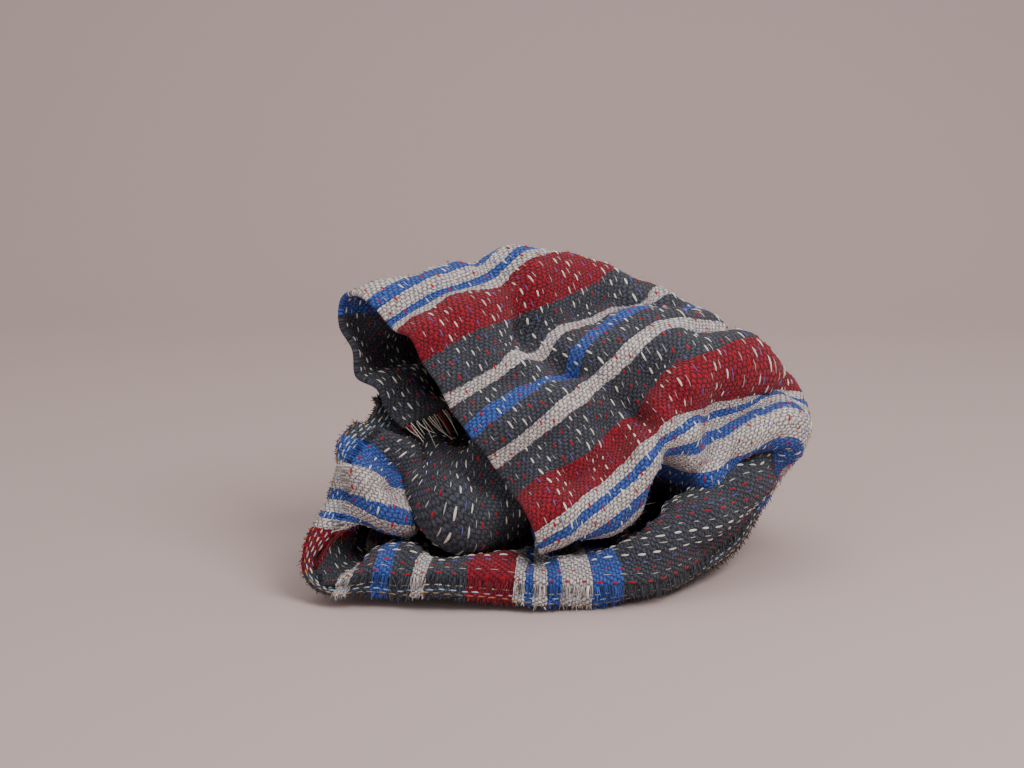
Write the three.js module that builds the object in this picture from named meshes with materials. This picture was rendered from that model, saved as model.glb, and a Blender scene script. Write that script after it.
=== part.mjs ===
// A striped wool throw, doubled along its length and loosely balled up into a standing heap.
// Millimetres, +Z up, +X to the viewer's right, +Y away from the viewer, origin under the heap's middle.
import * as THREE from "three";

// Cloth: the throw lies doubled, so the strip below is half as wide as the open throw
const STRIP_WIDTH = 440;
const STRIP_LENGTH = 1430;
const PLY = 2.2;
const PLY_GAP = 1.4;
const FOLD_STEPS = 4;

// Grid of the strip: across from the fold to the hem, and along the warp
const CELLS_ACROSS = 16;
const CELLS_ALONG = 55;

// The upper ply stops short of the under ply: a little at the front, more where it climbs the left side
const LAP_FRONT = 17;
const LAP_LEFT = 30;
const LAP_TURNS_AT = [1080, 1180];
const LAP_RIM = 15;

// Settling: how the threads hold their length while the layers keep apart
const ROUNDS = 500;
const EASE_ROUNDS = 60;
const THREAD_HOLD = 0.6;
const SHEAR_HOLD = 0.12;
const BEND_HOLD = 0.6;
const BEND_SPAN = 1.76;
const PLACE_HOLD = 0.25;
const EASE_HOLD = 0.03;
const LAYER_HOLD = 0.8;
const LAYER_GAP = 24;
const NEAR_CELLS = 3;
const SOFTEN_PASSES = 120;
const SOFTEN_SHARE = 0.35;
const SHARPEST = 0.35;
const NORMAL_TURNS = 30;
const LEAST_FACING = 0.45;
const FLOOR_MIDDLE = PLY + PLY_GAP / 2;
const FLOOR_BAND = 1.7;

// Distance of each table column from the fold, across the strip
const ACROSS = { fold: 0, ridge: 50, flap: 100, crown: 190, flank: 280, inner: 345, shoulder: 390, hem: 440 };

// Sections of the heap, one row for each weft line: the distance along the warp, then right, back and up
// of each column's point, and the columns that are held in place while the rest settles
const HOOD = { held: ["fold", "ridge", "flap", "crown"] };
const DOME = { held: ["fold", "ridge", "flap", "crown", "flank"] };
const BRIM = { held: ["ridge", "flap", "crown", "flank"] };
const END = { held: ["fold"] };
const SIDE = { held: ["flank", "inner", "shoulder", "hem"] };
const WALL = { held: ["inner", "shoulder", "hem"] };
const FOOT = { held: ["crown", "flank", "inner", "shoulder", "hem"] };
const LOOSE = { held: [] };
const SECTIONS = [
  [END, 0, [-128, 104, 152], [-101, 146, 156], [-72, 186, 154], [-40, 262, 135],
    [0, 325, 90], [30, 350, 35], [60, 362, 6], [105, 372, 5]],
  [END, 100, [-170, 122, 215], [-137, 160, 222], [-102, 196, 225], [-22, 252, 220],
    [42, 306, 180], [78, 338, 130], [98, 354, 92], [115, 366, 48]],
  [HOOD, 190, [-168, 118, 276], [-128, 140, 290], [-88, 168, 289], [-8, 208, 289],
    [55, 262, 255], [92, 300, 215], [112, 325, 182], [130, 345, 140]],
  [HOOD, 240, [-132, 95, 250], [-92, 125, 272], [-50, 163, 275], [22, 212, 286],
    [84, 264, 252], [120, 300, 210], [140, 318, 172], [156, 332, 128]],
  [HOOD, 285, [-108, 78, 220], [-66, 100, 246], [-26, 136, 250], [42, 198, 277],
    [104, 250, 245], [142, 286, 202], [160, 304, 164], [174, 316, 120]],
  [DOME, 367, [-65, 52, 156], [-22, 72, 186], [20, 104, 194], [86, 160, 246],
    [150, 212, 232], [186, 250, 186], [202, 268, 148], [214, 280, 102]],
  [DOME, 449, [-12, 38, 94], [28, 50, 122], [62, 78, 142], [130, 112, 206],
    [204, 162, 208], [232, 205, 165], [240, 228, 128], [243, 243, 82]],
  [DOME, 494, [4, 15, 60], [44, 32, 86], [80, 55, 108], [126, 98, 170],
    [210, 146, 186], [238, 188, 150], [245, 212, 116], [246, 228, 70]],
  [BRIM, 545, [20, 66, 68], [48, 26, 70], [86, 32, 82], [134, 80, 112],
    [206, 122, 152], [238, 162, 128], [245, 188, 98], [243, 208, 54]],
  [SIDE, 594, [30, 112, 78], [60, 86, 76], [84, 76, 72], [146, 92, 88],
    [206, 113, 122], [228, 136, 112], [238, 162, 88], [234, 186, 52]],
  [WALL, 650, [50, 170, 62], [78, 168, 60], [105, 158, 56], [138, 145, 60],
    [165, 128, 88], [190, 102, 108], [205, 104, 74], [213, 134, 32]],
  [WALL, 700, [84, 228, 62], [100, 258, 54], [115, 245, 20], [132, 178, 22],
    [146, 118, 62], [155, 74, 90], [164, 58, 64], [187, 88, 24]],
  [FOOT, 750, [96, 255, 58], [98, 296, 46], [101, 278, 8], [108, 198, 6],
    [116, 118, 34], [123, 62, 74], [131, 36, 58], [134, 36, 10]],
  [FOOT, 804, [60, 244, 54], [60, 290, 52], [62, 292, 12], [65, 220, 4],
    [69, 134, 6], [71, 78, 36], [72, 40, 50], [77, 6, 12]],
  [FOOT, 860, [26, 248, 54], [26, 294, 52], [27, 296, 12], [28, 224, 4],
    [28, 136, 5], [26, 76, 26], [24, 36, 46], [18, 4, 12]],
  [FOOT, 925, [-26, 252, 54], [-26, 298, 52], [-26, 300, 12], [-27, 228, 4],
    [-29, 140, 5], [-32, 78, 22], [-37, 38, 44], [-52, 4, 14]],
  [WALL, 1001, [-64, 256, 58], [-64, 302, 54], [-66, 304, 14], [-74, 232, 6],
    [-86, 146, 8], [-98, 84, 24], [-110, 44, 44], [-128, 10, 18]],
  [WALL, 1061, [-62, 252, 74], [-62, 298, 66], [-70, 300, 26], [-98, 228, 20],
    [-126, 150, 28], [-150, 92, 40], [-166, 50, 50], [-182, 15, 16]],
  [WALL, 1113, [-18, 212, 150], [-14, 250, 126], [-24, 262, 84], [-68, 212, 64],
    [-122, 148, 54], [-160, 98, 52], [-188, 62, 44], [-212, 34, 18]],
  [WALL, 1158, [26, 194, 196], [44, 224, 166], [30, 232, 122], [-25, 188, 94],
    [-78, 130, 84], [-122, 84, 68], [-160, 66, 72], [-203, 58, 66]],
  [WALL, 1202, [38, 182, 212], [58, 210, 184], [46, 220, 140], [-8, 178, 110],
    [-66, 120, 94], [-112, 78, 80], [-154, 62, 97], [-197, 78, 104]],
  [SIDE, 1258, [58, 180, 190], [74, 190, 145], [60, 165, 104], [0, 112, 64],
    [-68, 70, 48], [-106, 86, 104], [-146, 82, 134], [-188, 100, 147]],
  [SIDE, 1300, [58, 172, 206], [80, 176, 168], [66, 150, 128], [2, 86, 96],
    [-66, 46, 80], [-104, 80, 110], [-134, 112, 134], [-176, 122, 160]],
  [SIDE, 1350, [58, 178, 218], [82, 172, 190], [66, 146, 152], [4, 96, 124],
    [-62, 66, 118], [-98, 108, 128], [-126, 140, 136], [-165, 148, 170]],
  [LOOSE, 1430, [62, 200, 232], [88, 188, 212], [80, 160, 178], [24, 122, 152],
    [-40, 100, 142], [-80, 140, 140], [-112, 170, 142], [-154, 192, 158]],
];

const WOOL_COLOUR = 0x3c404a;

const COLUMNS = CELLS_ACROSS + 1;
const ROWS = CELLS_ALONG + 1;
const CELL_ACROSS = STRIP_WIDTH / CELLS_ACROSS;
const CELL_ALONG = STRIP_LENGTH / CELLS_ALONG;
const PLY_MIDDLE = (PLY + PLY_GAP) / 2;

/** Smooth curve through points at uneven knots, read at one place. */
function curveAt(points, knots, place) {
  let span = 0;
  while (span < knots.length - 2 && place > knots[span + 1]) {
    span += 1;
  }
  const slope = (k) => {
    const before = Math.max(0, k - 1);
    const after = Math.min(knots.length - 1, k + 1);
    return points[after].clone().sub(points[before]).divideScalar(knots[after] - knots[before]);
  };
  const step = knots[span + 1] - knots[span];
  const t = (place - knots[span]) / step;
  return points[span].clone().multiplyScalar((1 + 2 * t) * (1 - t) ** 2)
    .addScaledVector(slope(span), step * t * (1 - t) ** 2)
    .addScaledVector(points[span + 1], t * t * (3 - 2 * t))
    .addScaledVector(slope(span + 1), step * t * t * (t - 1));
}

/** Lay the strip through the table's sections, as rows of points from the fold to the hem. */
function layStrip() {
  const alongKnots = SECTIONS.map((section) => section[1]);
  const acrossKnots = Object.values(ACROSS);
  const guides = acrossKnots.map((_, c) => SECTIONS.map((section) => new THREE.Vector3(...section[c + 2])));
  const rows = [];
  for (let j = 0; j < ROWS; j += 1) {
    const section = guides.map((guide) => curveAt(guide, alongKnots, j * CELL_ALONG));
    rows.push(Array.from({ length: COLUMNS }, (_, i) => curveAt(section, acrossKnots, i * CELL_ACROSS)));
  }
  return rows;
}

/** Points of the table that stay where they are seen, each with its cell and its share of the corners. */
function heldPlaces() {
  const names = Object.keys(ACROSS);
  return SECTIONS.flatMap((section) => section[0].held.map((name) => {
    const across = ACROSS[name] / CELL_ACROSS;
    const along = section[1] / CELL_ALONG;
    const i = Math.min(CELLS_ACROSS - 1, Math.floor(across));
    const j = Math.min(CELLS_ALONG - 1, Math.floor(along));
    const a = across - i;
    const b = along - j;
    const near = [[i, j, (1 - a) * (1 - b)], [i + 1, j, a * (1 - b)]];
    const far = [[i, j + 1, (1 - a) * b], [i + 1, j + 1, a * b]];
    const corners = [...near, ...far];
    return { corners, target: new THREE.Vector3(...section[names.indexOf(name) + 2]) };
  }));
}

const gapLine = new THREE.Vector3();

/** Move two points along their line towards a length; with floorOnly, just when they are closer than it. */
function holdLength(p, q, length, hold, floorOnly = false) {
  gapLine.subVectors(q, p);
  const now = gapLine.length();
  if (floorOnly && now >= length) {
    return;
  }
  gapLine.multiplyScalar((0.5 * hold * (now - length)) / now);
  p.add(gapLine);
  q.sub(gapLine);
}

/** Push apart the layers that come closer than the gap, found through boxes of the gap's size. */
function partLayers(rows) {
  const boxes = new Map();
  const boxOf = (p) => [p.x, p.y, p.z].map((value) => Math.floor(value / LAYER_GAP));
  rows.forEach((row, j) => row.forEach((point, i) => {
    const key = boxOf(point).join();
    boxes.set(key, [...(boxes.get(key) ?? []), { i, j, point }]);
  }));
  const steps = [-1, 0, 1];
  rows.forEach((row, j) => row.forEach((point, i) => {
    const [x, y, z] = boxOf(point);
    for (const dx of steps) {
      for (const dy of steps) {
        for (const dz of steps) {
          for (const other of boxes.get([x + dx, y + dy, z + dz].join()) ?? []) {
            const later = other.j > j || (other.j === j && other.i > i);
            const near = Math.abs(other.i - i) < NEAR_CELLS && Math.abs(other.j - j) < NEAR_CELLS;
            if (later && !near) {
              holdLength(point, other.point, LAYER_GAP, LAYER_HOLD, true);
            }
          }
        }
      }
    }
  }));
}

/** Settle the strip: woven lengths, soft shear, a least bend, held places, parted layers and the floor. */
function settle(rows) {
  const held = heldPlaces();
  const diagonal = Math.hypot(CELL_ACROSS, CELL_ALONG);
  const pairs = (di, dj, length, hold, floorOnly) => {
    for (let j = 0; j + dj < ROWS; j += 1) {
      for (let i = Math.max(0, -di); i + Math.max(0, di) < COLUMNS; i += 1) {
        holdLength(rows[j][i], rows[j + dj][i + di], length, hold, floorOnly);
      }
    }
  };
  for (let round = 0; round < ROUNDS; round += 1) {
    const placeHold = round < ROUNDS - EASE_ROUNDS ? PLACE_HOLD : EASE_HOLD;
    for (let pass = 0; pass < 2; pass += 1) {
      pairs(1, 0, CELL_ACROSS, THREAD_HOLD);
      pairs(0, 1, CELL_ALONG, THREAD_HOLD);
    }
    pairs(1, 1, diagonal, SHEAR_HOLD);
    pairs(-1, 1, diagonal, SHEAR_HOLD);
    pairs(2, 0, BEND_SPAN * CELL_ACROSS, BEND_HOLD, true);
    pairs(0, 2, BEND_SPAN * CELL_ALONG, BEND_HOLD, true);
    for (const { corners, target } of held) {
      const now = new THREE.Vector3();
      corners.forEach(([i, j, share]) => now.addScaledVector(rows[j][i], share));
      const weight = corners.reduce((sum, [, , share]) => sum + share * share, 0);
      const move = target.clone().sub(now).multiplyScalar(placeHold / weight);
      corners.forEach(([i, j, share]) => rows[j][i].addScaledVector(move, share));
    }
    partLayers(rows);
    rows.flat().forEach((point) => {
      point.z = Math.max(point.z, FLOOR_MIDDLE);
    });
  }
  return rows;
}

/** Soften the sharpest bends: a point with too sharp a bend moves part of the way to its neighbours' middle. */
function soften(rows) {
  for (let pass = 0; pass < SOFTEN_PASSES; pass += 1) {
    const before = rows.map((row) => row.map((point) => point.clone()));
    const faces = cellFaces(before);
    const normals = meanNormals(faces);
    const sharp = new Set();
    faces.forEach(({ normal, corners }) => corners.forEach(([i, j]) => {
      if (normals[j][i].dot(normal) < SHARPEST) {
        sharp.add(rows[j][i]);
      }
    }));
    rows.forEach((row, j) => row.forEach((point, i) => {
      const across = i > 0 && i < CELLS_ACROSS ? [before[j][i - 1], before[j][i + 1]] : [];
      const along = j > 0 && j < CELLS_ALONG ? [before[j - 1][i], before[j + 1][i]] : [];
      const near = [...across, ...along];
      if (sharp.has(point) && near.length > 0) {
        const sum = near.reduce((total, other) => total.add(other), new THREE.Vector3());
        point.lerp(sum.divideScalar(near.length), SOFTEN_SHARE);
      }
    }));
    partLayers(rows);
  }
  return rows;
}

/** Both faces of every cell, each with its outward normal and its corners. */
function cellFaces(rows) {
  const faces = [];
  const face = (...corners) => {
    const [p, q, r] = corners.map(([i, j]) => rows[j][i]);
    const normal = new THREE.Vector3().crossVectors(r.clone().sub(p), q.clone().sub(p)).normalize();
    faces.push({ normal, corners });
  };
  for (let j = 0; j < CELLS_ALONG; j += 1) {
    for (let i = 0; i < CELLS_ACROSS; i += 1) {
      face([i, j], [i + 1, j], [i + 1, j + 1]);
      face([i, j], [i + 1, j + 1], [i, j + 1]);
    }
  }
  return faces;
}

/** Mean normal of the faces round each point. */
function meanNormals(faces) {
  const blankRow = () => Array.from({ length: COLUMNS }, () => new THREE.Vector3());
  const normals = Array.from({ length: ROWS }, blankRow);
  faces.forEach(({ normal, corners }) => corners.forEach(([i, j]) => normals[j][i].add(normal)));
  normals.flat().forEach((normal) => normal.normalize());
  return normals;
}

/** Outward normal at each point, turned until every cell face round the point is seen from outside. */
function outwardNormals(rows) {
  const faces = cellFaces(rows);
  const normals = meanNormals(faces);
  for (let turn = 0; turn < NORMAL_TURNS; turn += 1) {
    faces.forEach(({ normal, corners }) => corners.forEach(([i, j]) => {
      const lack = LEAST_FACING - normals[j][i].dot(normal);
      normals[j][i].addScaledVector(normal, Math.max(0, lack));
    }));
    normals.flat().forEach((normal) => normal.normalize());
  }
  return normals;
}

/** The settled strip as a surface: point, directions and outward normal at any place on it. */
class Strip {
  constructor(rows) {
    this.rows = rows;
    this.normals = outwardNormals(rows);
  }

  /** Read a grid of vectors between its points. */
  static between(grid, across, along) {
    const a = THREE.MathUtils.clamp(across / CELL_ACROSS, 0, CELLS_ACROSS);
    const b = THREE.MathUtils.clamp(along / CELL_ALONG, 0, CELLS_ALONG);
    const i = Math.min(CELLS_ACROSS - 1, Math.floor(a));
    const j = Math.min(CELLS_ALONG - 1, Math.floor(b));
    const near = grid[j][i].clone().lerp(grid[j][i + 1], a - i);
    const far = grid[j + 1][i].clone().lerp(grid[j + 1][i + 1], a - i);
    return near.lerp(far, b - j);
  }

  point(across, along) {
    return Strip.between(this.rows, across, along);
  }

  frame(across, along) {
    const normal = Strip.between(this.normals, across, along).normalize();
    const weft = this.point(across + CELL_ACROSS, along).sub(this.point(across - CELL_ACROSS, along));
    weft.addScaledVector(normal, -weft.dot(normal)).normalize();
    const warp = new THREE.Vector3().crossVectors(weft, normal).normalize();
    return { weft, warp, normal };
  }
}

/** How far the upper ply stops short of the under ply at one place along the warp. */
function lapAt(along) {
  const [from, to] = LAP_TURNS_AT;
  return THREE.MathUtils.lerp(LAP_FRONT, LAP_LEFT, THREE.MathUtils.smoothstep(along, from, to));
}

/** Place across the strip of one column of the upper ply, whose last two columns follow the lap. */
function upperAcross(i, along) {
  const rim = STRIP_WIDTH - lapAt(along);
  if (i === CELLS_ACROSS) {
    return rim;
  }
  return Math.min(i * CELL_ACROSS, rim - LAP_RIM * (CELLS_ACROSS - i));
}

/** One closed ring round the doubled section: outer face from hem to hem, then back along the inner face. */
function sectionRing(strip, along) {
  const offset = (across, height) => {
    const { normal } = strip.frame(across, along);
    return strip.point(across, along).addScaledVector(normal, height);
  };
  const { weft, normal } = strip.frame(0, along);
  const turn = (radius) => Array.from({ length: FOLD_STEPS - 1 }, (_, k) => {
    const angle = (Math.PI * (k + 1)) / FOLD_STEPS;
    return strip.point(0, along)
      .addScaledVector(normal, radius * Math.cos(angle))
      .addScaledVector(weft, -radius * Math.sin(angle));
  });
  const face = (height) => [
    ...Array.from({ length: COLUMNS }, (_, i) => offset(upperAcross(CELLS_ACROSS - i, along), height)),
    ...turn(height),
    ...Array.from({ length: COLUMNS }, (_, i) => offset(i * CELL_ACROSS, -height)),
  ];
  const ring = [...face(PLY_MIDDLE + PLY / 2), ...face(PLY_MIDDLE - PLY / 2).reverse()];
  ring.forEach((point) => {
    point.z = point.z < FLOOR_BAND ? 0 : point.z;
  });
  return ring;
}

/** Whether a ring's step runs from the hem to the fold, so that its cells are split the other way. */
function runsToFold(k) {
  const turn = COLUMNS + FOLD_STEPS - 1;
  return k < COLUMNS - 1 || (k >= turn + COLUMNS && k < turn + 2 * COLUMNS - 1);
}

/** Close a run of rings into one body: walls between rings, and a ladder of faces over each end. */
function closedTube(rings, splitsBack = () => false) {
  const size = rings[0].length;
  const index = [];
  const quad = (a, b, c, d) => index.push(a, b, c, a, c, d);
  for (let j = 0; j + 1 < rings.length; j += 1) {
    for (let k = 0; k < size; k += 1) {
      const next = (k + 1) % size;
      const corners = [j * size + k, j * size + next, (j + 1) * size + next, (j + 1) * size + k];
      quad(...(splitsBack(k) ? [...corners.slice(1), corners[0]] : corners));
    }
  }
  const last = (rings.length - 1) * size;
  for (let k = 0; k + 1 < size / 2; k += 1) {
    const across = size - 1 - k;
    quad(k, across, across - 1, k + 1);
    quad(last + k, last + k + 1, last + across - 1, last + across);
  }
  const geometry = new THREE.BufferGeometry();
  const places = rings.flat().flatMap((point) => point.toArray());
  geometry.setAttribute("position", new THREE.Float32BufferAttribute(places, 3));
  geometry.setIndex(index);
  return geometry;
}

function finish(colour) {
  return new THREE.MeshStandardMaterial({ color: colour, roughness: 0.95, metalness: 0 });
}

const strip = new Strip(soften(settle(layStrip())));
const rings = Array.from({ length: ROWS }, (_, j) => sectionRing(strip, j * CELL_ALONG));
const throwMesh = new THREE.Mesh(closedTube(rings, runsToFold), finish(WOOL_COLOUR));
throwMesh.name = "throw";

const heap = new THREE.Group();
heap.add(throwMesh);
const box = new THREE.Box3().setFromObject(heap);
const middle = box.getCenter(new THREE.Vector3());
heap.position.set(-middle.x, -middle.y, 0);

export default heap;
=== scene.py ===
"""Striped wool throw, doubled along its length and loosely balled up into a standing heap."""
import logging
import math
from dataclasses import dataclass
from enum import Enum

import bpy
import numpy as np
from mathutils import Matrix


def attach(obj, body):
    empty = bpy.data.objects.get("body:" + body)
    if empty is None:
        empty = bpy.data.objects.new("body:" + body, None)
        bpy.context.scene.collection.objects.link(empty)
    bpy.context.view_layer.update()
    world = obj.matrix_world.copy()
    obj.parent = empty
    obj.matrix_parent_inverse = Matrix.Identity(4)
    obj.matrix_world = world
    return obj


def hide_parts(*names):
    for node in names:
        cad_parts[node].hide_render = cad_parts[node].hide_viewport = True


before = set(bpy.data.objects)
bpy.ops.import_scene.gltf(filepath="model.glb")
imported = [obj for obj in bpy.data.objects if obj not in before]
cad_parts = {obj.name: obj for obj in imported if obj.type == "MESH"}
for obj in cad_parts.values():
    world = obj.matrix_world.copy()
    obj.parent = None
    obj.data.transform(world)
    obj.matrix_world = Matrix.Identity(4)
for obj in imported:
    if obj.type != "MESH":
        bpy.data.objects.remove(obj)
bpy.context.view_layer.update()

LOG = logging.getLogger("wool_throw")
MM = 0.001
TINY = 1e-9
FLOOR_CLEAR = 0.0003
STITCH_FLOOR_CLEAR = 0.0001
FINE_ACROSS = 129
FINE_ALONG = 441
RING_START = (0.04124, 0.16993, 0.03226)
RING_SECOND = (0.03004, 0.16261, 0.03887)


class Yarn(Enum):
    """Dyed yarns of the throw, as linear colours."""

    CHARCOAL = (0.078, 0.086, 0.116)
    RED = (0.360, 0.009, 0.030)
    BLUE = (0.060, 0.150, 0.600)
    WHITE = (0.860, 0.790, 0.780)
    RED_FLOAT = (0.450, 0.004, 0.012)
    WHITE_FLOAT = (0.820, 0.760, 0.690)
    TAN_FLOAT = (0.500, 0.270, 0.090)
    SKY_FLOAT = (0.400, 0.540, 0.740)
    CREAM_FLOAT = (0.760, 0.680, 0.540)
    DULL_FLOAT = (0.500, 0.460, 0.440)
    VIOLET_FLOAT = (0.160, 0.130, 0.520)


@dataclass(frozen=True)
class Stripe:
    """One weft stripe: where it starts in the half repeat, in metres, and its yarn."""

    start: float
    yarn: Yarn


HALF_REPEAT = 0.332
REPEAT_SHIFT = 0.035
STRIPES = (
    Stripe(0.000, Yarn.CHARCOAL),
    Stripe(0.105, Yarn.BLUE),
    Stripe(0.133, Yarn.WHITE),
    Stripe(0.161, Yarn.BLUE),
    Stripe(0.174, Yarn.WHITE),
    Stripe(0.188, Yarn.BLUE),
    Stripe(0.195, Yarn.WHITE),
    Stripe(0.205, Yarn.RED),
    Stripe(0.250, Yarn.CHARCOAL),
    Stripe(0.287, Yarn.WHITE),
    Stripe(0.302, Yarn.CHARCOAL),
    Stripe(0.324, Yarn.BLUE),
)


@dataclass(frozen=True)
class Crease:
    """One soft ridge (or trough, with a negative height) along a line on the cloth, in millimetres."""

    across_from: float
    along_from: float
    across_to: float
    along_to: float
    spread: float
    height: float


CREASES = (
    Crease(18, 215, 30, 520, 14, 3.0),
    Crease(70, 240, 75, 460, 26, 5.0),
    Crease(128, 205, 118, 300, 14, -9.0),
    Crease(118, 300, 118, 370, 13, -9.0),
    Crease(118, 370, 144, 449, 12, -9.0),
    Crease(144, 449, 158, 520, 12, -9.0),
    Crease(166, 215, 156, 300, 24, 5.0),
    Crease(156, 300, 168, 400, 26, 5.0),
    Crease(190, 440, 198, 500, 22, 5.0),
    Crease(250, 330, 285, 470, 55, 16.0),
    Crease(170, 420, 182, 545, 12, -3.5),
    Crease(205, 330, 215, 500, 18, 4.0),
    Crease(232, 470, 250, 570, 11, -3.5),
    Crease(262, 250, 270, 420, 20, -4.0),
    Crease(300, 480, 312, 600, 13, 3.5),
    Crease(330, 300, 340, 520, 18, -3.0),
    Crease(372, 620, 380, 790, 12, 3.0),
    Crease(410, 640, 404, 860, 10, -2.5),
    Crease(392, 820, 386, 1010, 10, 3.0),
    Crease(420, 880, 424, 960, 8, -2.0),
    Crease(350, 930, 438, 1010, 11, -3.0),
    Crease(360, 1030, 436, 1090, 12, 3.5),
    Crease(330, 1120, 430, 1150, 13, -4.0),
    Crease(345, 1180, 436, 1200, 12, 3.0),
    Crease(340, 1240, 432, 1262, 14, -3.0),
    Crease(205, 1252, 330, 1258, 34, 22.0),
    Crease(290, 1300, 300, 1370, 16, 4.0),
    Crease(20, 60, 60, 190, 15, -3.0),
    Crease(90, 40, 110, 180, 17, 3.5),
    Crease(180, 60, 240, 200, 20, -4.0),
    Crease(300, 40, 350, 240, 20, 4.0),
)


def smoothstep(low: float, high: float, value: np.ndarray) -> np.ndarray:
    """Ease from 0 at low to 1 at high with level ends."""
    t = np.clip((value - low) / (high - low), 0.0, 1.0)
    return t * t * (3.0 - 2.0 * t)


def spline_weights(coarse: int, fine: int) -> np.ndarray:
    """Weights of a smooth curve through evenly spaced points.

    Each fine place takes the four nearest points by the Catmull-Rom rule: the slope at a point is half
    the step between its neighbours. Places beyond an end reuse the end point.

    Args:
        coarse: how many points the curve passes through.
        fine: how many places are read along it.

    Returns:
        A fine by coarse matrix whose rows sum to one.
    """
    place = np.linspace(0.0, coarse - 1.0, fine)
    span = np.minimum(place.astype(int), coarse - 2)
    t = place - span
    shares = (
        0.5 * (-t + 2 * t**2 - t**3),
        0.5 * (2 - 5 * t**2 + 3 * t**3),
        0.5 * (t + 4 * t**2 - 3 * t**3),
        0.5 * (-(t**2) + t**3),
    )
    weights = np.zeros((fine, coarse))
    for step, share in enumerate(shares):
        np.add.at(weights, (np.arange(fine), np.clip(span + step - 1, 0, coarse - 1)), share)
    return weights


def new_mesh(
    name: str, points: np.ndarray, faces: np.ndarray, cloth_uv: np.ndarray, material: bpy.types.Material
) -> bpy.types.Object:
    """Make a smooth-shaded mesh object with a UV map in metres of cloth.

    Args:
        name: the piece's name.
        points: vertex places in metres.
        faces: vertex numbers of each face.
        cloth_uv: place on the flat cloth of each vertex, in metres.
        material: the piece's finish.

    Returns:
        The linked object.
    """
    mesh = bpy.data.meshes.new(name)
    mesh.from_pydata(points.tolist(), [], faces.tolist())
    layer = mesh.uv_layers.new(name="cloth")
    corner = np.empty(len(mesh.loops), dtype=np.int64)
    mesh.loops.foreach_get("vertex_index", corner)
    layer.data.foreach_set("uv", cloth_uv[corner].astype(np.float32).ravel())
    mesh.polygons.foreach_set("use_smooth", np.ones(len(mesh.polygons), dtype=bool))
    mesh.materials.append(material)
    mesh.update()
    piece = bpy.data.objects.new(name, mesh)
    bpy.context.scene.collection.objects.link(piece)
    return piece


def dye_mesh(piece: bpy.types.Object, layer: str, dye: np.ndarray) -> None:
    """Keep a thread colour on each vertex of a piece, in a named colour layer."""
    colour = piece.data.color_attributes.new(layer, "FLOAT_COLOR", "POINT")
    colour.data.foreach_set("color", np.concatenate([dye, np.ones((len(dye), 1))], axis=1).ravel())


@dataclass(frozen=True)
class Cloth:
    """Sizes of the doubled strip, in metres, and of the grid that the solid is laid on."""

    width: float = 0.440
    length: float = 1.430
    ply: float = 0.0022
    ply_gap: float = 0.0014
    columns: int = 17
    rows: int = 56
    fold_steps: int = 4
    lap_front: float = 0.017
    lap_left: float = 0.030
    lap_turns_from: float = 1.080
    lap_turns_to: float = 1.180

    @property
    def half(self) -> int:
        """Points of one face, from hem round the fold to hem."""
        return 2 * self.columns + self.fold_steps - 1

    def upper_hem(self, along: np.ndarray) -> np.ndarray:
        """Distance from the fold to the upper ply's hem, which stops short of the under ply's."""
        turn = smoothstep(self.lap_turns_from, self.lap_turns_to, along)
        return self.width - self.lap_front - (self.lap_left - self.lap_front) * turn


CLOTH = Cloth()


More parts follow.
